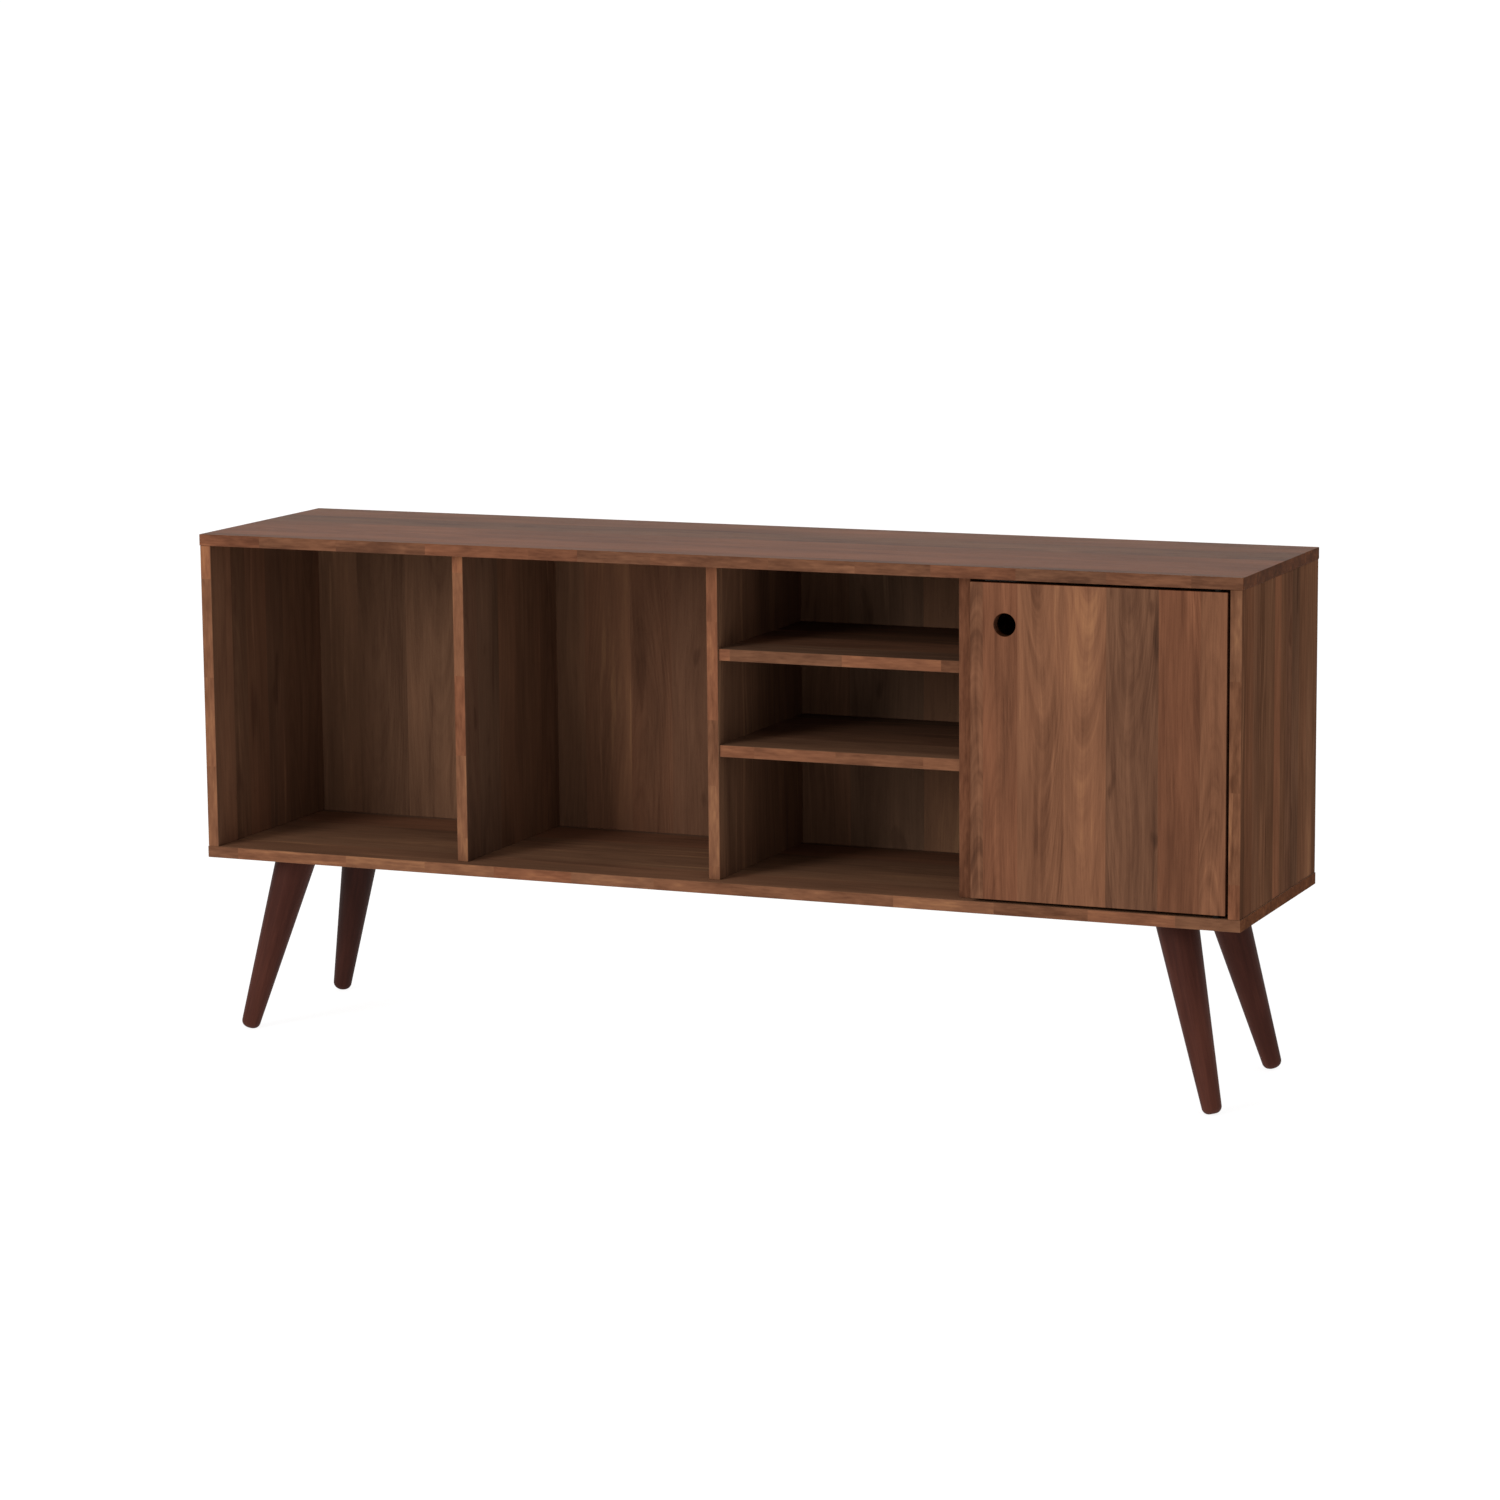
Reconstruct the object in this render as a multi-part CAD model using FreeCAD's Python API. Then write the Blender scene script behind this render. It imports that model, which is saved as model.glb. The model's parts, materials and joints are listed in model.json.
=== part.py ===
import FreeCAD, Part
import math
import os
from FreeCAD import Vector

# Sideboard buffet: a low walnut cabinet with two open bays, one bay with two fixed shelves and one
# cupboard with an inset door, on four splayed and tapered legs.
#
# Millimetres. X runs along the width, -Y is the front and +Z is up. The origin is on the floor,
# under the middle of the cabinet.

# ---- Driving dimensions ----------------------------------------------------------------------
WIDTH = 1500.0               # top and bottom panels, end to end
DEPTH = 347.0
BODY_HEIGHT = 454.5          # underside of the bottom panel to the top face
LEG_HEIGHT = 247.0           # floor to the underside of the bottom panel
PANEL = 16.0                 # thickness of every board except the back
BACK = 8.0                   # thickness of the back panel
SIDE_INSET = 1.0             # the top and bottom panels stand out past the sides by this much
ARRIS = 0.8                  # rounding of every board's edges

DIVIDER_CENTRES = {"left_divider": -361.0, "middle_divider": 14.3, "right_divider": 370.9}
DIVIDER_RECESS = 18.0        # front edges of the dividers behind the cabinet's front
SHELF_RECESS = 21.0          # front edges of the fixed shelves behind the cabinet's front
SHELF_HEIGHTS = {"upper_shelf": 319.8, "lower_shelf": 190.5}   # centres, above the underside
BACK_FACE = 35.5             # front face of the back panel, from the cabinet's rear plane
GROOVE = 6.0                 # depth of the back panel's grooves

DOOR_LEFT = 384.8            # the door's free edge
DOOR_GAP = 3.5               # at its top and its hinge edge
DOOR_BOTTOM_GAP = 4.0
HOLE_RADIUS = 15.0           # finger hole through the door
HOLE_X = 431.9
HOLE_HEIGHT = 380.7          # above the underside of the bottom panel
HOLE_ROUNDING = 1.0

LEG_TOP_RADIUS = 28.4
LEG_FOOT_RADIUS = 12.6
FOOT_ROUNDING = 9.5
FOOT_FLAT = 0.6              # how much of each rounded foot is levelled off at the floor
LEG_TOP_X = 644.2            # leg axis where it meets the cabinet
LEG_SPLAY_X = 63.0           # outward run of the axis down to the foot
LEG_SPLAY_Y = 37.7
LEG_TOP_FRONT = -108.2
LEG_TOP_BACK = 91.7

DOWEL_RADIUS = 4.0
DOWEL_LENGTH = 30.0
DOWEL_SHALLOW = 10.0         # part of a dowel that sits across a board's thickness
DOWEL_CHAMFER = 1.0
CORNER_ROWS = (-140.0, -55.0, 30.0, 115.0)    # Y of the dowels at each end of a side panel
DIVIDER_ROWS = (-125.0, -5.0, 110.0)
SHELF_ROWS = (-115.0, 95.0)

PIVOT_SETBACK = 14.0         # hinge axis from the door's hinge edge
PIN_RADIUS = 3.0
PIN_CLEARANCE = 0.05         # radial running fit of a pin in its bush
PIN_IN_DOOR = 22.0
PIN_END_GAP = 0.5            # between a pin's end and the floor of its bush
BUSH_DEPTH = 11.0
BUSH_RADIUS = 5.0
BUSH_FLOOR = 1.5             # closed end of each bush
LOWER_BUSH_PROUD = DOOR_BOTTOM_GAP - 0.2      # the lower bush carries the door, with a little play
UPPER_BUSH_PROUD = DOOR_GAP - 0.3

# ---- Places worked out from them -------------------------------------------------------------
FRONT = -DEPTH / 2
REAR = DEPTH / 2
UNDERSIDE = LEG_HEIGHT
FLOOR_FACE = UNDERSIDE + PANEL                 # upper face of the bottom panel
TOP_FACE = UNDERSIDE + BODY_HEIGHT
CEILING_FACE = TOP_FACE - PANEL                # lower face of the top panel
SIDE_OUTER = WIDTH / 2 - SIDE_INSET
SIDE_INNER = SIDE_OUTER - PANEL
BACK_FRONT = REAR - BACK_FACE
BACK_REAR = BACK_FRONT + BACK

DOOR_RIGHT = SIDE_INNER - DOOR_GAP
DOOR_BOTTOM = FLOOR_FACE + DOOR_BOTTOM_GAP
DOOR_TOP = CEILING_FACE - DOOR_GAP
DOOR_BACK = FRONT + PANEL
PIVOT_X = DOOR_RIGHT - PIVOT_SETBACK
PIVOT_Y = FRONT + PANEL / 2

UP = Vector(0, 0, 1)
DOWN = Vector(0, 0, -1)
RIGHT = Vector(1, 0, 0)
LEFT = Vector(-1, 0, 0)
FORWARD = Vector(0, -1, 0)
BACKWARD = Vector(0, 1, 0)


# ---- Small tools -----------------------------------------------------------------------------
def block(low, high):
    """A box between two opposite corners."""
    size = [b - a for a, b in zip(low, high)]
    return Part.makeBox(*size, Vector(*low))


def board(low, high):
    """A box with every edge slightly rounded."""
    solid = block(low, high)
    return solid.makeFillet(ARRIS, solid.Edges)


def rod(radius, start, direction, length):
    return Part.makeCylinder(radius, length, start, direction)


def cone(start_radius, end_radius, start, direction, length):
    return Part.makeCone(start_radius, end_radius, length, start, direction)


def rims(solid, radius, near=None):
    """The full circles of one radius on a solid, or only those centred at a point."""
    length = 2 * math.pi * radius
    found = [edge for edge in solid.Edges if edge.isClosed() and abs(edge.Length - length) < 0.01]
    return [edge for edge in found if near is None or (edge.CenterOfMass - near).Length < 0.5]


def save(name, *solids):
    """One STEP file for one node, which may be a group of separate solids."""
    shape = solids[0] if len(solids) == 1 else Part.makeCompound(list(solids))
    shape.exportStep(os.path.join("parts", name + ".step"))


# ---- Dowels ----------------------------------------------------------------------------------
def dowel(joint, direction):
    """A dowel across the face where two boards meet, with its shallow end towards `direction`."""
    pin = dowel_hole(joint, direction)
    return pin.makeChamfer(DOWEL_CHAMFER, rims(pin, DOWEL_RADIUS))


def dowel_hole(joint, direction):
    deep = DOWEL_LENGTH - DOWEL_SHALLOW
    return rod(DOWEL_RADIUS, joint - direction * deep, direction, DOWEL_LENGTH)


def upright_joints(x, rows):
    """Both ends of an upright board: where it meets the bottom and the top panel."""
    bottom = [(Vector(x, y, FLOOR_FACE), DOWN) for y in rows]
    top = [(Vector(x, y, CEILING_FACE), UP) for y in rows]
    return bottom + top


def shelf_joints(height):
    """Both ends of a fixed shelf, between the middle and the right divider."""
    left_x = DIVIDER_CENTRES["middle_divider"] + PANEL / 2
    right_x = DIVIDER_CENTRES["right_divider"] - PANEL / 2
    z = UNDERSIDE + height
    left = [(Vector(left_x, y, z), LEFT) for y in SHELF_ROWS]
    right = [(Vector(right_x, y, z), RIGHT) for y in SHELF_ROWS]
    return left + right


SIDE_CENTRE = SIDE_OUTER - PANEL / 2

corner_joints = [j for side in (-1, 1) for j in upright_joints(side * SIDE_CENTRE, CORNER_ROWS)]
divider_joints = [j for x in DIVIDER_CENTRES.values() for j in upright_joints(x, DIVIDER_ROWS)]
fixed_shelf_joints = [j for height in SHELF_HEIGHTS.values() for j in shelf_joints(height)]


def dowel_holes(joints):
    return [dowel_hole(*joint) for joint in joints]


# ---- Screws ----------------------------------------------------------------------------------
SCREW_HEAD_RADIUS = 3.6
SCREW_RADIUS = 1.75
SCREW_HEAD = SCREW_HEAD_RADIUS - SCREW_RADIUS      # height of the 45 degree countersunk head
SCREW_POINT = 4.0
SCREW_POINT_RADIUS = 0.3
SLOT_REACH = 2.2             # half the length of each arm of the cross recess
SLOT_HALF_WIDTH = 0.45
SLOT_DEPTH = 1.0


def wood_screw(face, direction, length):
    """A countersunk screw whose head is flush with `face` and which points along `direction`."""
    head = cone(SCREW_HEAD_RADIUS, SCREW_RADIUS, face, direction, SCREW_HEAD)
    shank = rod(SCREW_RADIUS, face + direction * SCREW_HEAD, direction, length - SCREW_HEAD - SCREW_POINT)
    point = cone(SCREW_RADIUS, SCREW_POINT_RADIUS, face + direction * (length - SCREW_POINT), direction,
                 SCREW_POINT)
    one = UP if abs(direction.z) < 0.5 else RIGHT
    other = direction.cross(one)
    slots = [slot_bar(face, direction, one, other), slot_bar(face, direction, other, one)]
    return head.fuse([shank, point]).cut(slots)


def slot_bar(face, direction, along, across):
    """One arm of the cross recess in a screw's head."""
    length = along * (2 * SLOT_REACH)
    width = across * (2 * SLOT_HALF_WIDTH)
    corner = face - length / 2 - width / 2
    outline = Part.makePolygon([corner, corner + length, corner + length + width, corner + width, corner])
    return Part.Face(outline).extrude(direction * SLOT_DEPTH)


def screw_hole(face, direction, length):
    """The countersunk hole that such a screw fills."""
    sink = cone(SCREW_HEAD_RADIUS, SCREW_RADIUS, face, direction, SCREW_HEAD)
    return sink.fuse(rod(SCREW_RADIUS, face + direction * SCREW_HEAD, direction, length - SCREW_HEAD))


# ---- Back panel, held in grooves and screwed to the dividers ----------------------------------
BACK_SCREW_LENGTH = 30.0
BACK_SCREW_HEIGHTS = (60.0, 172.0, 284.0, 396.0)       # above the underside of the bottom panel
back_screw_faces = [Vector(x, BACK_REAR, UNDERSIDE + z)
                    for x in DIVIDER_CENTRES.values() for z in BACK_SCREW_HEIGHTS]


def back_screw_holes():
    return [screw_hole(face, FORWARD, BACK_SCREW_LENGTH) for face in back_screw_faces]


def back_body():
    """The space of the back panel, which is also the shape of its grooves."""
    reach = SIDE_INNER + GROOVE
    return block((-reach, BACK_FRONT, FLOOR_FACE - GROOVE), (reach, BACK_REAR, CEILING_FACE + GROOVE))


def make_back():
    save("back_panel", back_body().cut(back_screw_holes()))
    save("back_panel_screws", *[wood_screw(face, FORWARD, BACK_SCREW_LENGTH)
                                for face in back_screw_faces])


# ---- Door pivots ------------------------------------------------------------------------------
PLATE_THICKNESS = 2.5
PLATE_HALF_WIDTH = 5.0
PLATE_LENGTH = 42.0
PLATE_RIGHT = DOOR_RIGHT - 4.0
PLATE_LEFT = PLATE_RIGHT - PLATE_LENGTH
PLATE_SCREW_LENGTH = 22.0
PIN_CHAMFER = 0.5
plate_screw_xs = (PIVOT_X - 13.0, PIVOT_X - 26.0)


def plate_body(edge, inward):
    """A round-ended pivot plate, let into the door from the level `edge`."""
    centres = (PLATE_LEFT + PLATE_HALF_WIDTH, PLATE_RIGHT - PLATE_HALF_WIDTH)
    middle = block((centres[0], PIVOT_Y - PLATE_HALF_WIDTH, 0),
                   (centres[1], PIVOT_Y + PLATE_HALF_WIDTH, PLATE_THICKNESS))
    ends = [rod(PLATE_HALF_WIDTH, Vector(x, PIVOT_Y, 0), UP, PLATE_THICKNESS) for x in centres]
    outline = middle.fuse(ends).removeSplitter()
    outline.translate(Vector(0, 0, edge if inward.z > 0 else edge - PLATE_THICKNESS))
    return outline


def plate_screw_holes(edge, inward):
    return [screw_hole(Vector(x, PIVOT_Y, edge), inward, PLATE_SCREW_LENGTH) for x in plate_screw_xs]


def pin_in_door(edge, inward):
    return rod(PIN_RADIUS, Vector(PIVOT_X, PIVOT_Y, edge), inward, PIN_IN_DOOR)


def make_pivot(prefix, edge, inward, socket, proud):
    """Plate, pin and bush at one end of the door. The bush stands `proud` of the face `socket`."""
    outward = inward * -1
    holes = plate_screw_holes(edge, inward) + [pin_in_door(edge, inward)]
    save(prefix + "_pivot_plate", plate_body(edge, inward).cut(holes))

    pin_start = Vector(PIVOT_X, PIVOT_Y, edge) + inward * PIN_IN_DOOR
    pin_end = Vector(PIVOT_X, PIVOT_Y, socket) + outward * (BUSH_DEPTH - BUSH_FLOOR - PIN_END_GAP)
    pin = rod(PIN_RADIUS, pin_start, outward, (pin_end - pin_start).Length)
    save(prefix + "_pivot_pin", pin.makeChamfer(PIN_CHAMFER, rims(pin, PIN_RADIUS)))

    mouth = Vector(PIVOT_X, PIVOT_Y, socket) + inward * proud
    bush = rod(BUSH_RADIUS, mouth, outward, proud + BUSH_DEPTH)
    bore = rod(PIN_RADIUS + PIN_CLEARANCE, mouth, outward, proud + BUSH_DEPTH - BUSH_FLOOR)
    save(prefix + "_pivot_bush", bush.cut(bore))
    return [wood_screw(Vector(x, PIVOT_Y, edge), inward, PLATE_SCREW_LENGTH) for x in plate_screw_xs]


def bush_hole(socket, outward):
    return rod(BUSH_RADIUS, Vector(PIVOT_X, PIVOT_Y, socket), outward, BUSH_DEPTH)


def make_pivots():
    lower = make_pivot("lower", DOOR_BOTTOM, UP, FLOOR_FACE, LOWER_BUSH_PROUD)
    upper = make_pivot("upper", DOOR_TOP, DOWN, CEILING_FACE, UPPER_BUSH_PROUD)
    save("pivot_plate_screws", *lower, *upper)


# ---- Magnetic catch, which is also the door's stop ---------------------------------------------
CATCH_X = 421.0
CATCH_HALF_LENGTH = 23.0
CATCH_HEIGHT = 18.0
CATCH_DROP = 11.0            # middle of the magnet below the top panel
STRIKE_THICKNESS = 1.5
CATCH_PLAY = 0.2             # between the strike plate and the poles with the door shut
POLE_STEP = 1.0              # the poles stand out of the housing by this much
POLE_THICKNESS = 1.5
POLE_HALF_LENGTH = 14.0
MAGNET_HEIGHT = 5.0
MAGNET_SETBACK = 1.0
HOUSING_DEPTH = 15.0
HOUSING_ROUNDING = 3.0
POCKET_DEPTH = 11.0
CATCH_SCREW_LENGTH = 26.0
CATCH_SCREW_REACH = 18.5     # screws to either side of the middle
STRIKE_HALF_LENGTH = 18.0
STRIKE_HALF_HEIGHT = 5.5
STRIKE_ROUNDING = 2.5
STRIKE_SCREW_LENGTH = 12.0
STRIKE_SCREW_REACH = 12.0

POLE_FRONT = DOOR_BACK + STRIKE_THICKNESS + CATCH_PLAY
HOUSING_FRONT = POLE_FRONT + POLE_STEP
HOUSING_BACK = HOUSING_FRONT + HOUSING_DEPTH
POCKET_BACK = HOUSING_FRONT + POCKET_DEPTH
CATCH_MIDDLE = CEILING_FACE - CATCH_DROP
CATCH_LOWER_FACE = CEILING_FACE - CATCH_HEIGHT
catch_screw_faces = [Vector(CATCH_X + reach, (HOUSING_FRONT + HOUSING_BACK) / 2, CATCH_LOWER_FACE)
                     for reach in (-CATCH_SCREW_REACH, CATCH_SCREW_REACH)]
strike_screw_faces = [Vector(CATCH_X + reach, DOOR_BACK + STRIKE_THICKNESS, CATCH_MIDDLE)
                      for reach in (-STRIKE_SCREW_REACH, STRIKE_SCREW_REACH)]


def catch_holes():
    return [screw_hole(face, UP, CATCH_SCREW_LENGTH) for face in catch_screw_faces]


def strike_holes():
    return [screw_hole(face, FORWARD, STRIKE_SCREW_LENGTH) for face in strike_screw_faces]


def magnet_stack():
    """The magnet and the steel pole plates that sandwich it."""
    half = MAGNET_HEIGHT / 2
    left, right = CATCH_X - POLE_HALF_LENGTH, CATCH_X + POLE_HALF_LENGTH
    magnet = block((left, HOUSING_FRONT + MAGNET_SETBACK, CATCH_MIDDLE - half),
                   (right, POCKET_BACK, CATCH_MIDDLE + half))
    upper = block((left, POLE_FRONT, CATCH_MIDDLE + half),
                  (right, POCKET_BACK, CATCH_MIDDLE + half + POLE_THICKNESS))
    lower = block((left, POLE_FRONT, CATCH_MIDDLE - half - POLE_THICKNESS),
                  (right, POCKET_BACK, CATCH_MIDDLE - half))
    return magnet, upper, lower


def make_catch():
    magnet, upper_pole, lower_pole = magnet_stack()
    housing = block((CATCH_X - CATCH_HALF_LENGTH, HOUSING_FRONT, CATCH_LOWER_FACE),
                    (CATCH_X + CATCH_HALF_LENGTH, HOUSING_BACK, CEILING_FACE))
    upright = [edge for edge in housing.Edges if abs(edge.tangentAt(0).z) > 0.9]
    housing = housing.makeFillet(HOUSING_ROUNDING, upright)
    half_pocket = MAGNET_HEIGHT / 2 + POLE_THICKNESS
    pocket = block((CATCH_X - POLE_HALF_LENGTH, HOUSING_FRONT, CATCH_MIDDLE - half_pocket),
                   (CATCH_X + POLE_HALF_LENGTH, POCKET_BACK, CATCH_MIDDLE + half_pocket))
    save("catch_housing", housing.cut([pocket] + catch_holes()))
    save("catch_magnet", magnet)
    save("catch_poles", upper_pole, lower_pole)
    save("catch_screws", *[wood_screw(face, UP, CATCH_SCREW_LENGTH) for face in catch_screw_faces])


def make_strike():
    plate = block((CATCH_X - STRIKE_HALF_LENGTH, DOOR_BACK, CATCH_MIDDLE - STRIKE_HALF_HEIGHT),
                  (CATCH_X + STRIKE_HALF_LENGTH, DOOR_BACK + STRIKE_THICKNESS,
                   CATCH_MIDDLE + STRIKE_HALF_HEIGHT))
    corners = [edge for edge in plate.Edges if abs(edge.tangentAt(0).y) > 0.9]
    plate = plate.makeFillet(STRIKE_ROUNDING, corners)
    save("strike_plate", plate.cut(strike_holes()))
    save("strike_screws", *[wood_screw(face, FORWARD, STRIKE_SCREW_LENGTH) for face in strike_screw_faces])


# ---- Door --------------------------------------------------------------------------------------
def make_door():
    door = board((DOOR_LEFT, FRONT, DOOR_BOTTOM), (DOOR_RIGHT, DOOR_BACK, DOOR_TOP))
    hole = rod(HOLE_RADIUS, Vector(HOLE_X, FRONT, UNDERSIDE + HOLE_HEIGHT), BACKWARD, PANEL)
    door = door.cut(hole)
    door = door.makeFillet(HOLE_ROUNDING, rims(door, HOLE_RADIUS))
    tools = strike_holes()
    for edge, inward in ((DOOR_BOTTOM, UP), (DOOR_TOP, DOWN)):
        tools += [plate_body(edge, inward), pin_in_door(edge, inward)] + plate_screw_holes(edge, inward)
    save("door_panel", door.cut(tools))


# ---- Cupboard shelf on four pins, with spare holes above and below it ----------------------------
CUPBOARD_SHELF_UNDERSIDE = UNDERSIDE + 216.0
CUPBOARD_SHELF_FRONT = FRONT + 28.0      # clears the corner of the door as it swings
SHELF_PLAY = 1.0                         # at its ends and its back
SHELF_PIN_RADIUS = 2.5
SHELF_PIN_HEAD = 3.5
SHELF_PIN_DEPTH = 8.0
SHELF_PIN_REACH = 8.0
SHELF_PIN_ROUNDING = 1.0
PIN_ROWS = (-110.0, 90.0)
PIN_HOLE_STEP = 32.0
CUPBOARD_LEFT = DIVIDER_CENTRES["right_divider"] + PANEL / 2
pin_walls = ((CUPBOARD_LEFT, RIGHT), (SIDE_INNER, LEFT))


def pin_holes(wall_x, into_cupboard):
    """Two columns of five holes; the middle ones hold the pins."""
    height = CUPBOARD_SHELF_UNDERSIDE - SHELF_PIN_HEAD
    return [rod(SHELF_PIN_RADIUS, Vector(wall_x, y, height + step * PIN_HOLE_STEP), into_cupboard * -1,
                SHELF_PIN_DEPTH)
            for y in PIN_ROWS for step in (-2, -1, 0, 1, 2)]


def shelf_pin(wall_x, y, into_cupboard):
    base = Vector(wall_x, y, CUPBOARD_SHELF_UNDERSIDE - SHELF_PIN_HEAD)
    stem = rod(SHELF_PIN_RADIUS, base, into_cupboard * -1, SHELF_PIN_DEPTH)
    head = rod(SHELF_PIN_HEAD, base, into_cupboard, SHELF_PIN_REACH)
    tip = rims(head, SHELF_PIN_HEAD, base + into_cupboard * SHELF_PIN_REACH)
    return head.makeFillet(SHELF_PIN_ROUNDING, tip).fuse(stem)


def make_cupboard_shelf():
    low = (CUPBOARD_LEFT + SHELF_PLAY, CUPBOARD_SHELF_FRONT, CUPBOARD_SHELF_UNDERSIDE)
    high = (SIDE_INNER - SHELF_PLAY, BACK_FRONT - SHELF_PLAY, CUPBOARD_SHELF_UNDERSIDE + PANEL)
    save("cupboard_shelf", board(low, high))
    save("shelf_pins", *[shelf_pin(x, y, inward) for x, inward in pin_walls for y in PIN_ROWS])


# ---- Legs --------------------------------------------------------------------------------------
LEG_PLACES = {
    "front_left_leg": (-1, -1), "front_right_leg": (1, -1),
    "back_left_leg": (-1, 1), "back_right_leg": (1, 1),
}
INSERT_RADIUS = 6.0
INSERT_DEPTH = 12.0
BOLT_RADIUS = 4.0
BOLT_IN_INSERT = INSERT_DEPTH - 1.0
BOLT_IN_LEG = 40.0
BOLT_POINT = 8.0
BOLT_POINT_RADIUS = 0.5


def leg_top(side, end):
    return Vector(side * LEG_TOP_X, LEG_TOP_FRONT if end < 0 else LEG_TOP_BACK, UNDERSIDE)


def make_leg(name, side, end):
    """A tapered round leg. Its foot is square to its axis, rounded, and levelled at the floor."""
    top = leg_top(side, end)
    run = math.hypot(LEG_SPLAY_X, LEG_SPLAY_Y)
    lean = math.atan2(run, LEG_HEIGHT)
    lowest = (FOOT_ROUNDING * (1 - math.cos(lean))
              + (LEG_FOOT_RADIUS - FOOT_ROUNDING) * math.sin(lean))
    foot = Vector(top.x + side * LEG_SPLAY_X, top.y + end * LEG_SPLAY_Y, lowest - FOOT_FLAT)
    axis = top - foot
    length = axis.Length
    axis.normalize()
    taper = (LEG_TOP_RADIUS - LEG_FOOT_RADIUS) / length
    overrun = LEG_TOP_RADIUS
    leg = cone(LEG_FOOT_RADIUS, LEG_TOP_RADIUS + taper * overrun, foot, axis, length + overrun)
    leg = leg.makeFillet(FOOT_ROUNDING, rims(leg, LEG_FOOT_RADIUS, foot))
    slab = 3 * LEG_TOP_RADIUS
    above = block((top.x - slab, top.y - slab, UNDERSIDE), (top.x + slab, top.y + slab, UNDERSIDE + slab))
    below = block((foot.x - slab, foot.y - slab, -slab), (foot.x + slab, foot.y + slab, 0))
    bolt_hole = rod(BOLT_RADIUS, top, DOWN, BOLT_IN_LEG)
    save(name, leg.cut([above, below, bolt_hole]))


def insert_space(place):
    return rod(INSERT_RADIUS, leg_top(*place), UP, INSERT_DEPTH)


def make_insert(place):
    """A threaded insert in the underside of the bottom panel."""
    bore = rod(BOLT_RADIUS, leg_top(*place), UP, INSERT_DEPTH)
    return insert_space(place).cut(bore)


def make_hanger_bolt(place):
    """Bolt half up in the insert, wood-screw half down in the leg."""
    top = leg_top(*place)
    shank = rod(BOLT_RADIUS, top + UP * BOLT_IN_INSERT, DOWN, BOLT_IN_INSERT + BOLT_IN_LEG - BOLT_POINT)
    point = cone(BOLT_RADIUS, BOLT_POINT_RADIUS, top + DOWN * (BOLT_IN_LEG - BOLT_POINT), DOWN, BOLT_POINT)
    return shank.fuse(point)


def make_legs():
    for name, place in LEG_PLACES.items():
        make_leg(name, *place)
    save("threaded_inserts", *[make_insert(place) for place in LEG_PLACES.values()])
    save("hanger_bolts", *[make_hanger_bolt(place) for place in LEG_PLACES.values()])


# ---- Boards of the cabinet ---------------------------------------------------------------------
def make_top_and_bottom():
    half = WIDTH / 2
    holes = dowel_holes(corner_joints + divider_joints)
    top = board((-half, FRONT, CEILING_FACE), (half, REAR, TOP_FACE))
    fittings = [back_body(), bush_hole(CEILING_FACE, UP)] + catch_holes()
    save("top_panel", top.cut(holes + fittings))
    bottom = board((-half, FRONT, UNDERSIDE), (half, REAR, FLOOR_FACE))
    fittings = [back_body(), bush_hole(FLOOR_FACE, DOWN)]
    fittings += [insert_space(place) for place in LEG_PLACES.values()]
    save("bottom_panel", bottom.cut(holes + fittings))


def make_sides():
    holes = dowel_holes(corner_joints) + [back_body()]
    left = board((-SIDE_OUTER, FRONT, FLOOR_FACE), (-SIDE_INNER, REAR, CEILING_FACE))
    save("left_side_panel", left.cut(holes))
    right = board((SIDE_INNER, FRONT, FLOOR_FACE), (SIDE_OUTER, REAR, CEILING_FACE))
    save("right_side_panel", right.cut(holes + pin_holes(SIDE_INNER, LEFT)))


def make_dividers():
    holes = dowel_holes(divider_joints + fixed_shelf_joints) + back_screw_holes()
    holes += pin_holes(CUPBOARD_LEFT, RIGHT)
    for name, x in DIVIDER_CENTRES.items():
        divider = board((x - PANEL / 2, FRONT + DIVIDER_RECESS, FLOOR_FACE),
                        (x + PANEL / 2, BACK_FRONT, CEILING_FACE))
        save(name, divider.cut(holes))


def make_fixed_shelves():
    left = DIVIDER_CENTRES["middle_divider"] + PANEL / 2
    right = DIVIDER_CENTRES["right_divider"] - PANEL / 2
    holes = dowel_holes(fixed_shelf_joints)
    for name, height in SHELF_HEIGHTS.items():
        middle = UNDERSIDE + height
        shelf = board((left, FRONT + SHELF_RECESS, middle - PANEL / 2),
                      (right, BACK_FRONT, middle + PANEL / 2))
        save(name, shelf.cut(holes))


def make_dowels():
    save("corner_dowels", *[dowel(*joint) for joint in corner_joints])
    save("divider_dowels", *[dowel(*joint) for joint in divider_joints])
    save("shelf_dowels", *[dowel(*joint) for joint in fixed_shelf_joints])


os.makedirs("parts", exist_ok=True)
make_top_and_bottom()
make_sides()
make_dividers()
make_fixed_shelves()
make_back()
make_dowels()
make_cupboard_shelf()
make_door()
make_pivots()
make_catch()
make_strike()
make_legs()
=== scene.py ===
import json
import math
import bpy
from mathutils import Matrix, Vector


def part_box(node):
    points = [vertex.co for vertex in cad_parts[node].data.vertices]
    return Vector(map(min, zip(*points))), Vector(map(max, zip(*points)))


# The looks of a walnut sideboard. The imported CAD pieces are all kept, and each gets a procedural
# material: wood for the boards and legs, metal, plastic or bare beech for the fittings. The script
# also makes a pale studio and the camera. Metres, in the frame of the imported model: X along the
# width, -Y to the front, +Z up, origin on the floor.

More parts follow.
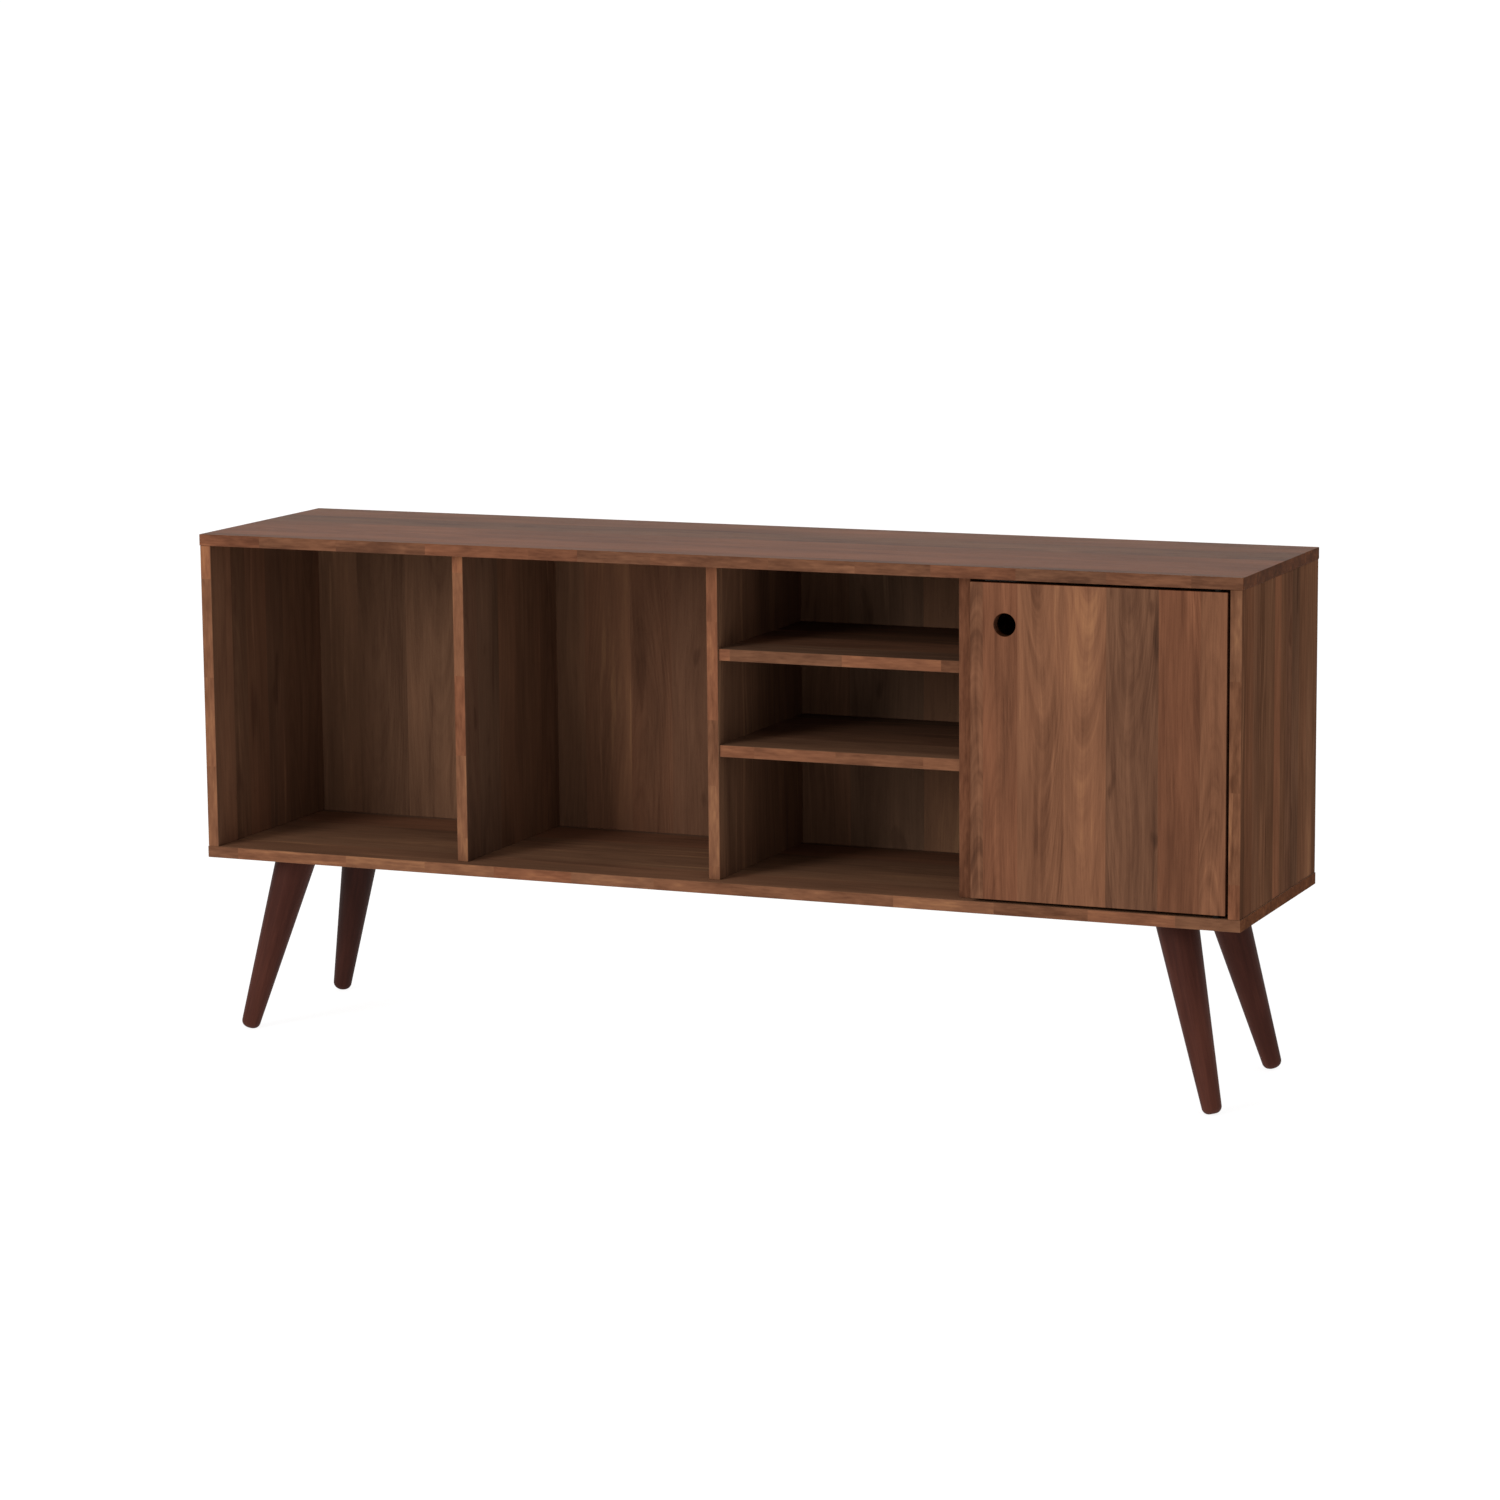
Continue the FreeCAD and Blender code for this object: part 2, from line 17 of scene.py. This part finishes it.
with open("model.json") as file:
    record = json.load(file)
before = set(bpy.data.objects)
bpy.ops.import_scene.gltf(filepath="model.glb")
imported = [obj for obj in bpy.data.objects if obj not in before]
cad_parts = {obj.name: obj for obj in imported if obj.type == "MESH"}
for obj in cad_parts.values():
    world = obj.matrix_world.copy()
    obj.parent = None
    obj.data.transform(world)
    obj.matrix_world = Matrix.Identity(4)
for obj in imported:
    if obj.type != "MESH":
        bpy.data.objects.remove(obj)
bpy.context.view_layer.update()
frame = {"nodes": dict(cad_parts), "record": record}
NODES = frame["nodes"]
X, Y, Z = 0, 1, 2

# ---- Camera --------------------------------------------------------------------------------------
CAMERA_PLACE = Vector((2.3584, -5.5483, 1.4086))
CAMERA_YAW = math.radians(23.015)       # turned left from looking straight back
CAMERA_PITCH = math.radians(9.370)      # tipped down
CAMERA_ROLL = math.radians(-0.525)      # turned about its own line of sight
CAMERA_REACH = 100.0
SENSOR_WIDTH = 36.0                     # millimetres, as the lens
FOCAL_LENGTH = 107.47


def make_camera():
    data = bpy.data.cameras.new("camera")
    data.sensor_width = SENSOR_WIDTH
    data.lens = FOCAL_LENGTH
    data.clip_end = CAMERA_REACH
    camera = bpy.data.objects.new("camera", data)
    bpy.context.scene.collection.objects.link(camera)
    flat = Vector((-math.sin(CAMERA_YAW), math.cos(CAMERA_YAW), 0.0))
    ahead = flat * math.cos(CAMERA_PITCH) - Vector((0, 0, math.sin(CAMERA_PITCH)))
    level = Vector((math.cos(CAMERA_YAW), math.sin(CAMERA_YAW), 0.0))
    upward = level.cross(ahead)
    right = level * math.cos(CAMERA_ROLL) + upward * math.sin(CAMERA_ROLL)
    top = upward * math.cos(CAMERA_ROLL) - level * math.sin(CAMERA_ROLL)
    turn = Matrix((right, top, -ahead)).transposed().to_4x4()
    camera.matrix_world = Matrix.Translation(CAMERA_PLACE) @ turn
    bpy.context.scene.camera = camera


# ---- Studio --------------------------------------------------------------------------------------
WHITE = (1.0, 1.0, 1.0, 1.0)
FLOOR_HALF_WIDTH = 14.0
FLOOR_FRONT = -9.0
BACKDROP_PLACE = 6.0                    # Y of the upright part of the backdrop
BACKDROP_HEIGHT = 9.0
BACKDROP_BEND = 3.0                     # radius of the sweep between floor and backdrop
BEND_STEPS = 16
FLOOR_GLOW = 0.87                       # it shines by itself, so no shadow darkens it much
FLOOR_SHADE = 0.22                      # the share of the light falling on it that it gives back
FLOOR_ROUGHNESS = 0.9
FLOOR_SHEEN = 0.1
SKY_STRENGTH = 0.66

# name, place, the point it is aimed at, width, height, and power in watts
LIGHTS = [
    ("key", (-2.7, -5.4, 2.9), (0.0, 0.0, 0.45), 1.8, 3.6, 198.0),
    ("overhead", (0.0, -0.6, 4.2), (0.0, 0.0, 0.4), 3.5, 3.5, 10.0),
]


def make_floor():
    """A pale floor that sweeps up into a backdrop."""
    profile = [(FLOOR_FRONT, 0.0)]
    for step in range(BEND_STEPS + 1):
        turn = math.pi / 2 * step / BEND_STEPS
        y = BACKDROP_PLACE - BACKDROP_BEND * (1.0 - math.sin(turn))
        z = BACKDROP_BEND * (1.0 - math.cos(turn))
        profile.append((y, z))
    profile.append((BACKDROP_PLACE, BACKDROP_HEIGHT))
    points = [(x, y, z) for y, z in profile for x in (-FLOOR_HALF_WIDTH, FLOOR_HALF_WIDTH)]
    faces = [(2 * i, 2 * i + 1, 2 * i + 3, 2 * i + 2) for i in range(len(profile) - 1)]
    mesh = bpy.data.meshes.new("floor")
    mesh.from_pydata(points, [], faces)
    for face in mesh.polygons:
        face.use_smooth = True
    floor = bpy.data.objects.new("floor", mesh)
    bpy.context.scene.collection.objects.link(floor)
    paint = bpy.data.materials.new("pale_floor")
    paint.use_nodes = True
    shader = paint.node_tree.nodes["Principled BSDF"]
    shader.inputs["Base Color"].default_value = (FLOOR_SHADE, FLOOR_SHADE, FLOOR_SHADE, 1.0)
    shader.inputs["Roughness"].default_value = FLOOR_ROUGHNESS
    shader.inputs["Specular IOR Level"].default_value = FLOOR_SHEEN
    shader.inputs["Emission Color"].default_value = WHITE
    shader.inputs["Emission Strength"].default_value = FLOOR_GLOW
    mesh.materials.append(paint)


def make_sky():
    """An even white glow from every side."""
    world = bpy.data.worlds.new("studio")
    world.use_nodes = True
    sky = world.node_tree.nodes["Background"]
    sky.inputs["Color"].default_value = WHITE
    sky.inputs["Strength"].default_value = SKY_STRENGTH
    bpy.context.scene.world = world


def make_light(name, place, target, width, height, power):
    data = bpy.data.lights.new(name, "AREA")
    data.shape = "RECTANGLE"
    data.size = width
    data.size_y = height
    data.energy = power
    light = bpy.data.objects.new(name, data)
    light.location = place
    aim = Vector(target) - Vector(place)
    light.rotation_euler = aim.to_track_quat("-Z", "Y").to_euler()
    bpy.context.scene.collection.objects.link(light)


# ---- A small kit for building shader graphs ------------------------------------------------------
class Graph:
    """Adds nodes to one material.

    Values are numbers, colours or output sockets. The methods that work something out return
    sockets, and `add` returns the node itself.
    """

    def __init__(self, name):
        self.material = bpy.data.materials.new(name)
        self.material.use_nodes = True
        self.tree = self.material.node_tree
        self.shader = self.tree.nodes["Principled BSDF"]

    def add(self, kind, inputs=(), **settings):
        node = self.tree.nodes.new(kind)
        for key, value in settings.items():
            setattr(node, key, value)
        for key, value in dict(inputs).items():
            self.feed(node.inputs[key], value)
        return node

    def feed(self, socket, value):
        if isinstance(value, bpy.types.NodeSocket):
            self.tree.links.new(value, socket)
        else:
            socket.default_value = value

    def set(self, **inputs):
        for key, value in inputs.items():
            self.feed(self.shader.inputs[key.replace("_", " ")], value)

    def math(self, operation, *values):
        return self.add("ShaderNodeMath", enumerate(values), operation=operation).outputs[0]

    def times(self, value, factor):
        return self.math("MULTIPLY", value, factor)

    def plus(self, *values):
        total = values[0]
        for value in values[1:]:
            total = self.math("ADD", total, value)
        return total

    def less(self, value, amount):
        return self.plus(value, -amount)

    def join(self, x, y, z):
        return self.add("ShaderNodeCombineXYZ", {0: x, 1: y, 2: z}).outputs[0]

    def stretched(self, x, y, z, *features):
        """A place to look up noise at, given how many features it has per metre each way."""
        return self.join(*(self.times(part, each) for part, each in zip((x, y, z), features)))

    def split(self, vector):
        return self.add("ShaderNodeSeparateXYZ", {0: vector}).outputs

    def place(self):
        return self.add("ShaderNodeTexCoord").outputs["Object"]

    def facing(self):
        return self.add("ShaderNodeTexCoord").outputs["Normal"]

    def noise(self, vector, detail=2.0, rough=0.5, warp=0.0):
        inputs = {"Vector": vector, "Scale": 1.0, "Detail": detail, "Roughness": rough,
                  "Distortion": warp}
        return self.add("ShaderNodeTexNoise", inputs).outputs["Fac"]

    def cells(self, value, randomness):
        """Three random numbers and the middle of the one-dimensional cell that a value is in."""
        node = self.add("ShaderNodeTexVoronoi", voronoi_dimensions="1D")
        self.feed(node.inputs["W"], value)
        node.inputs["Scale"].default_value = 1.0
        node.inputs["Randomness"].default_value = randomness
        return [*self.split(node.outputs["Color"]), node.outputs["W"]]

    def band(self, value, low, high, soft=True):
        """0 up to `low`, 1 from `high` on, and between them in between. `high` may be the lower."""
        inputs = {"Value": value, "From Min": low, "From Max": high}
        kind = "SMOOTHSTEP" if soft else "LINEAR"
        return self.add("ShaderNodeMapRange", inputs, interpolation_type=kind).outputs[0]

    def mix(self, amount, one, two, blend="MIX"):
        """Colour `one` where the amount is 0. Where it is 1, colour `two`, or both blended."""
        node = self.add("ShaderNodeMix", data_type="RGBA", blend_type=blend)
        self.feed(node.inputs[0], amount)
        self.feed(node.inputs[6], one)
        self.feed(node.inputs[7], two)
        return node.outputs[2]

    def blend(self, amount, one, two):
        """Number `one` where the amount is 0, and number `two` where it is 1."""
        node = self.add("ShaderNodeMix", data_type="FLOAT")
        self.feed(node.inputs[0], amount)
        self.feed(node.inputs[2], one)
        self.feed(node.inputs[3], two)
        return node.outputs[0]

    def stops(self, value, stops, interpolation="LINEAR"):
        """Colour and alpha that go from stop to stop, each a position and its four numbers."""
        node = self.add("ShaderNodeValToRGB", {0: value})
        node.color_ramp.interpolation = interpolation
        marks = node.color_ramp.elements
        while len(marks) < len(stops):
            marks.new(1.0)
        for mark, (position, colour) in zip(marks, stops):
            mark.position = position
            mark.color = colour
        return node.outputs

    def ramp(self, value, tones):
        """Colour that runs through tones, each a position and a colour."""
        return self.stops(value, [(position, (*tone, 1.0)) for position, tone in tones])[0]

    def bump(self, height, distance):
        """Relief that a height of 1 raises by `distance`, in metres."""
        inputs = {"Height": height, "Distance": distance, "Strength": 1.0}
        self.feed(self.shader.inputs["Normal"], self.add("ShaderNodeBump", inputs).outputs[0])


# ---- Walnut --------------------------------------------------------------------------------------
DARK_BROWN = (0.028, 0.0115, 0.0062)
BROWN = (0.094, 0.0375, 0.0185)
WARM_BROWN = (0.176, 0.074, 0.0360)
GOLDEN_BROWN = (0.335, 0.156, 0.0670)
WALNUT_TONES = [(0.0, DARK_BROWN), (0.36, BROWN), (0.62, WARM_BROWN), (1.0, GOLDEN_BROWN)]
GREYING = (0.86, 1.00, 1.10, 1.0)        # multiplies the colour of greyer heartwood
REDDENING = (1.10, 0.90, 0.86, 1.0)      # and of redder wood
EDGE_CAST = (1.06, 1.09, 1.16, 1.0)      # and of the narrow edges
END_CAST = (1.00, 0.84, 0.66, 1.0)       # and of the end grain
BOARD_CAST = (1.03, 1.23, 1.40)          # and of the broad faces, unless a board has its own
BOARD_ROUGHNESS = 0.60
EDGE_ROUGHNESS = 0.95
SQUARELY = 0.6                           # share of a normal that makes its surface face an axis
EDGE_SPREAD = 0.15                       # how much the blocks of an edge differ in tone
END_TONE = -0.18                         # end grain soaks up more finish
WANDER = 0.030                           # how far the grain strays sideways
ARCH_BEND = 190.0                        # how sharply the cathedral figure bends, per metre
WOOD_RELIEF = 0.00010


def picked_staves(g, across, node, axis, staves):
    """Tone, greyness, redness and middle of listed staves.

    Each stave is given by its start, as a share of the node's width, and its three looks.
    """
    low, high = (corner[axis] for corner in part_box(node))
    share = g.band(across, low, high, soft=False)
    ends = [stave[0] for stave in staves[1:]] + [1.0]
    # the looks go in as a colour, and the middle as its alpha
    stops = [(start, (*looks, (start + end) / 2)) for (start, *looks), end in zip(staves, ends)]
    looks, middle = g.stops(share, stops, "CONSTANT")
    return [*g.split(looks), g.plus(g.times(middle, high - low), low)]


def random_staves(g, across, width, seed):
    """The same for staves of about one width whose looks are left to chance."""
    shift = seed * 3.7
    *looks, middle = g.cells(g.plus(g.times(across, 1.0 / width), shift), randomness=0.8)
    return [*looks, g.times(g.less(middle, shift), width)]


def random_blocks(g, along, length, seed):
    """Tone, greyness and redness of the blocks that an edge is jointed from."""
    return g.cells(g.plus(g.times(along, 1.0 / length), seed * 5.3), randomness=0.9)[:3]


def walnut_colour(g, level, grey, red, cloud, edge):
    """Brown by its level, then partly greyed or reddened."""
    colour = g.ramp(level, WALNUT_TONES)
    greyed = g.times(g.band(grey, 0.45, 1.0), g.blend(edge, 0.8, 0.3))
    colour = g.mix(greyed, colour, GREYING, "MULTIPLY")
    reddened = g.plus(g.times(g.band(red, 0.4, 1.0), 0.6), g.times(cloud, 0.8))
    return g.mix(g.math("MAXIMUM", reddened, 0.0), colour, REDDENING, "MULTIPLY")


def walnut(node, axes, seed, stave=0.075, staves=None, block=0.12, tone=0.0, edge_tone=0.06,
           spread=0.20, figure=1.0, lines=0.75, marks=0.4, sheen=0.03, cast=BOARD_CAST):
    """Walnut staves side by side. `axes` are the grain's, the width's and the thickness's.

    Broad faces show long staves with cathedral figure. The narrow edges show jointed blocks.
    `stave` and `block` are their width and length. `spread` is how much staves differ in tone.
    `figure`, `lines` and `marks` are how strong the arches, the fine lines, and the veins and
    knots are.
    """
    g = Graph("walnut_" + node)
    place = g.split(g.place())
    along, across, through = (place[axis] for axis in axes)
    normal = g.split(g.facing())
    edge = g.math("LESS_THAN", g.math("ABSOLUTE", normal[axes[2]]), SQUARELY)
    end = g.math("GREATER_THAN", g.math("ABSOLUTE", normal[axes[0]]), SQUARELY)

    # tone, greyness and redness of each stave or block, and the middle of each stave
    if staves:
        *looks, middle = picked_staves(g, across, node, axes[1], staves)
    else:
        *looks, middle = random_staves(g, across, stave, seed)
    block_looks = random_blocks(g, along, block, seed)
    tint, grey, red = (g.blend(edge, one, other) for one, other in zip(looks, block_looks))

    # each stave is cut from its own part of the tree, and its grain wanders a little
    u = g.plus(along, g.times(tint, 9.0), seed)
    stray = g.noise(g.join(g.times(u, 3.0), g.times(across, 9.0), seed), 1.0)
    wander = g.times(g.less(stray, 0.5), WANDER)
    v = g.plus(across, g.times(grey, 4.0), wander)
    w = g.plus(through, g.times(red, 2.0))

    def grain(length, width, detail=2.0, rough=0.55, warp=0.0):
        """Noise in -0.5 to 0.5, drawn out along the grain, with so many features per metre."""
        vector = g.stretched(u, v, w, length, width, width)
        return g.less(g.noise(vector, detail, rough, warp), 0.5)

    # cathedral figure: nested arches round the middle of a stave, up or down at random
    aside = g.plus(across, g.times(middle, -1.0), wander)
    upward = g.less(g.times(g.math("GREATER_THAN", red, 0.5), 2.0), 1.0)
    arch = g.plus(u, g.times(g.times(g.times(aside, aside), upward), ARCH_BEND))
    arches = g.less(g.noise(g.stretched(arch, v, u, 26.0, 10.0, 1.5), 3.0, 0.62), 0.5)
    arch_share = g.times(g.band(grain(0.9, 10.0), -0.12, 0.12), g.math("SUBTRACT", 1.0, edge))

    # from broad to fine: clouds of colour, dark and pale streaks, threads, fibres and pores
    cloud = grain(3.0, 17.0, rough=0.5, warp=0.3)
    streak = grain(6.5, 120.0, detail=3.0, rough=0.6)
    thread = grain(13.0, 380.0, rough=0.6)
    fibre = grain(30.0, 1000.0, detail=1.0)
    pores = g.band(grain(60.0, 1600.0, detail=1.0), 0.12, 0.22)

    # pale lines, dark veins and knots come in places only, and mottling on the edges only
    gleam = g.times(g.band(grain(4.5, 110.0), 0.05, 0.17), g.band(grain(1.2, 12.0), 0.0, 0.14))
    vein = g.times(g.band(grain(5.0, 60.0), -0.08, -0.19), g.band(grain(2.0, 14.0), 0.0, 0.12))
    knot = g.times(g.band(grain(14.0, 48.0, detail=1.0), 0.15, 0.25), g.band(grey, 0.45, 0.75))
    mottle = g.plus(grain(17.0, 70.0), g.times(grain(55.0, 300.0, rough=0.6), 0.7))
    patch = g.times(mottle, edge)

    level = g.plus(
        0.50 + tone,
        g.times(g.less(tint, 0.5), g.blend(edge, spread, EDGE_SPREAD)),
        g.times(edge, edge_tone),
        g.times(end, END_TONE),
        g.times(cloud, 0.42),
        g.times(streak, 0.34 * lines),
        g.times(thread, 0.17 * lines),
        g.times(fibre, 0.06),
        g.times(patch, 0.46),
        g.times(g.times(arches, arch_share), 0.50 * figure),
        g.times(gleam, 0.20 * lines),
        g.times(vein, -0.22 * marks),
        g.times(knot, -0.26 * marks),
        g.times(pores, -0.03),
    )
    colour = walnut_colour(g, level, grey, red, cloud, edge)
    tinge = g.mix(end, g.mix(edge, (*cast, 1.0), EDGE_CAST), END_CAST)
    colour = g.mix(1.0, colour, tinge, "MULTIPLY")

    matt = g.blend(edge, BOARD_ROUGHNESS, EDGE_ROUGHNESS)
    g.set(Base_Color=colour, Roughness=g.plus(matt, g.times(fibre, 0.10), g.times(pores, 0.10)))
    g.set(Specular_IOR_Level=sheen)
    relief = g.plus(g.times(fibre, 0.5), g.times(pores, -0.8), g.times(streak, 0.3))
    g.bump(relief, WOOD_RELIEF)
    return g.material


# ---- Legs ----------------------------------------------------------------------------------------
LEG_TONES = [(0.0, (0.016, 0.0048, 0.0032)), (0.5, (0.046, 0.0135, 0.0090)),
             (1.0, (0.105, 0.033, 0.0210))]
# the stain of each leg is a little lighter or darker, and the back legs, the back left one most,
# are darker still with painted shade
LEG_STAIN_AND_PAINTED_SHADE = {"front_left_leg": 0.0, "front_right_leg": 0.02,
              "back_left_leg": -0.36, "back_right_leg": -0.06}
LEG_ROUGHNESS = 0.48
LEG_SHEEN = 0.06
FOOT_LIGHT_HEIGHT = 0.20                     # painted light: the leg gets paler from here down to the floor, so it is darker up under the cabinet
FOOT_LIGHT_TONE = 0.17
END_LEVEL = 0.0005                       # points this near to a leg's end are on its end face


def leg_axis(node):
    """Unit vector up the middle of a leg, from its levelled foot to its top."""
    low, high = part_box(node)
    points = [vertex.co for vertex in NODES[node].data.vertices]
    ends = []
    for level in (low.z, high.z):
        ring = [point for point in points if abs(point.z - level) < END_LEVEL]
        ends.append(sum(ring, Vector()) / len(ring))
    return (ends[1] - ends[0]).normalized()


def stained_leg(node, seed):
    """Dark red-brown stain on a straight-grained turned leg, with painted light making it paler at
    the foot.
    """
    g = Graph("stained_" + node)
    upright = leg_axis(node).rotation_difference(Vector((0, 0, 1))).to_euler()
    turned = g.add("ShaderNodeVectorRotate", rotation_type="EULER_XYZ")
    g.feed(turned.inputs["Vector"], g.place())
    turned.inputs["Rotation"].default_value = upright
    x, y, z = g.split(turned.outputs[0])
    u = g.plus(z, seed)
    streak = g.noise(g.stretched(u, x, y, 5.0, 160.0, 160.0), 3.0, 0.6)
    fibre = g.noise(g.stretched(u, x, y, 16.0, 900.0, 900.0), 2.0, 0.6)
    cloud = g.noise(g.stretched(u, x, y, 6.0, 22.0, 22.0), 2.0)
    # painted light and shade: paler toward the foot, darker up under the cabinet
    foot_light = g.band(g.split(g.place())[Z], FOOT_LIGHT_HEIGHT, 0.0, soft=False)
    level = g.plus(
        # each leg's own stain, with painted shade darkening the back legs
        0.5 + LEG_STAIN_AND_PAINTED_SHADE[node],
        g.times(foot_light, FOOT_LIGHT_TONE),
        g.times(g.less(streak, 0.5), 0.45),
        g.times(g.less(fibre, 0.5), 0.22),
        g.times(g.less(cloud, 0.5), 0.6),
    )
    g.set(Base_Color=g.ramp(level, LEG_TONES))
    g.set(Roughness=g.plus(LEG_ROUGHNESS, g.times(fibre, 0.12)))
    g.set(Specular_IOR_Level=LEG_SHEEN)
    g.bump(g.plus(fibre, g.times(streak, 0.5)), WOOD_RELIEF)
    return g.material


# ---- Fittings ------------------------------------------------------------------------------------
METAL_RELIEF = 0.00003
MOULDED_RELIEF = 0.00006


def plain_metal(name, dark, light, rough):
    """Plated metal with a fine mottle and rubbing marks."""
    g = Graph(name)
    x, y, z = g.split(g.place())
    mottle = g.noise(g.stretched(x, y, z, 260.0, 260.0, 260.0), 3.0, 0.6)
    rub = g.noise(g.stretched(x, y, z, 1400.0, 1400.0, 180.0), 2.0)
    level = g.plus(g.times(mottle, 0.7), g.times(rub, 0.3))
    g.set(Base_Color=g.ramp(level, [(0.3, dark), (0.7, light)]))
    g.set(Metallic=1.0, Roughness=g.plus(rough - 0.08, g.times(mottle, 0.2)))
    g.bump(rub, METAL_RELIEF)
    return g.material


def moulded(name, dark, light, rough, sheen=0.4):
    """Moulded plastic, sintered ferrite or bare dowel wood: a fine uneven grain."""
    g = Graph(name)
    x, y, z = g.split(g.place())
    grain = g.noise(g.stretched(x, y, z, 900.0, 900.0, 900.0), 3.0, 0.6)
    cloud = g.noise(g.stretched(x, y, z, 90.0, 90.0, 90.0), 2.0)
    level = g.plus(g.times(grain, 0.4), g.times(cloud, 0.6))
    g.set(Base_Color=g.ramp(level, [(0.3, dark), (0.7, light)]))
    g.set(Roughness=g.plus(rough, g.times(grain, 0.12)))
    g.set(Specular_IOR_Level=sheen)
    g.bump(grain, MOULDED_RELIEF)
    return g.material


# ---- Which node gets which material --------------------------------------------------------------
# axes of a board's grain, width and thickness
FLAT_BOARD = (X, Y, Z)
UPRIGHT_BOARD = (Z, Y, X)
FRONT_BOARD = (Z, X, Y)
PLAIN = (1.0, 1.0, 1.0)                  # the cast of wood that keeps its own colour

# share of the door's width where each stave starts, then its tone, greyness and redness
DOOR_STAVES = [
    (0.00, 0.34, 0.60, 0.52), (0.05, 0.49, 0.30, 0.75), (0.185, 0.62, 0.20, 0.30),
    (0.37, 0.80, 0.05, 0.20), (0.535, 0.26, 0.80, 0.35), (0.735, 0.27, 0.40, 0.70),
    (0.895, 0.60, 0.10, 0.55),
]


def dress(node, material):
    for slot in NODES[node].material_slots:
        slot.material = material


def dress_boards():
    boards = {
        "top_panel": dict(axes=FLAT_BOARD, stave=0.085, spread=0.10, sheen=0.09, cast=PLAIN,
                          edge_tone=-0.05),
        "bottom_panel": dict(axes=FLAT_BOARD, stave=0.080, figure=0.6),
        "upper_shelf": dict(axes=FLAT_BOARD, stave=0.080, figure=0.6, tone=-0.09, edge_tone=0.13,
                            block=0.17),
        "lower_shelf": dict(axes=FLAT_BOARD, stave=0.080, figure=0.6, tone=-0.07, edge_tone=0.11),
        "cupboard_shelf": dict(axes=FLAT_BOARD, stave=0.080, figure=0.6),
        "left_side_panel": dict(axes=UPRIGHT_BOARD, stave=0.050, figure=0.5, spread=0.06),
        "right_side_panel": dict(axes=UPRIGHT_BOARD, stave=0.030, figure=0.4, sheen=0.0,
                                 spread=0.26, cast=(0.89, 0.99, 1.10), lines=1.1),
        "left_divider": dict(axes=UPRIGHT_BOARD, stave=0.060, figure=0.5, spread=0.12,
                             edge_tone=0.10),
        "middle_divider": dict(axes=UPRIGHT_BOARD, stave=0.060, figure=0.5, spread=0.12),
        "right_divider": dict(axes=UPRIGHT_BOARD, stave=0.060, figure=0.5, edge_tone=-0.06,
                              block=1.5),
        "back_panel": dict(axes=FRONT_BOARD, stave=0.085, tone=0.03, figure=0.5, spread=0.14),
        # edge_tone paints shade on the door's narrow faces: the walls of its finger hole and its
        # edges in the gaps
        "door_panel": dict(axes=FRONT_BOARD, staves=DOOR_STAVES, spread=0.28, figure=1.7,
                           cast=(1.11, 1.13, 1.20), marks=1.0, lines=1.2, edge_tone=-0.20),
    }
    for number, (node, looks) in enumerate(boards.items(), start=1):
        dress(node, walnut(node, seed=float(number), **looks))


def dress_legs():
    for number, node in enumerate(sorted(LEG_STAIN_AND_PAINTED_SHADE), start=1):
        dress(node, stained_leg(node, seed=number * 1.7))


def dress_fittings():
    zinc = plain_metal("zinc", (0.30, 0.30, 0.29), (0.62, 0.62, 0.60), rough=0.38)
    blackened = plain_metal("blackened", (0.020, 0.017, 0.015), (0.050, 0.044, 0.040), rough=0.60)
    brass = plain_metal("brass", (0.34, 0.22, 0.08), (0.72, 0.52, 0.24), rough=0.32)
    nylon = moulded("nylon", (0.008, 0.006, 0.005), (0.018, 0.014, 0.011), rough=0.70, sheen=0.03)
    plastic = moulded("brown_plastic", (0.035, 0.022, 0.015), (0.075, 0.048, 0.033), rough=0.42)
    ferrite = moulded("ferrite", (0.018, 0.018, 0.020), (0.055, 0.055, 0.058), rough=0.65)
    beech = moulded("beech", (0.42, 0.28, 0.16), (0.62, 0.46, 0.30), rough=0.60)
    finishes = {"zinc_steel": zinc, "pivot_brass": brass, "bush_nylon": nylon,
                "catch_plastic": plastic, "magnet": ferrite, "dowel_beech": beech}
    for part in frame["record"]["subparts"]:
        if part["material_slot"] in finishes:
            dress(part["node"], finishes[part["material_slot"]])
    # these show in the gaps round the door, where bright metal would glint
    for node in ("lower_pivot_plate", "upper_pivot_plate", "pivot_plate_screws"):
        dress(node, blackened)


make_camera()
make_floor()
make_sky()
for light in LIGHTS:
    make_light(*light)
dress_boards()
dress_legs()
dress_fittings()
bpy.context.scene.view_settings.view_transform = "Standard"
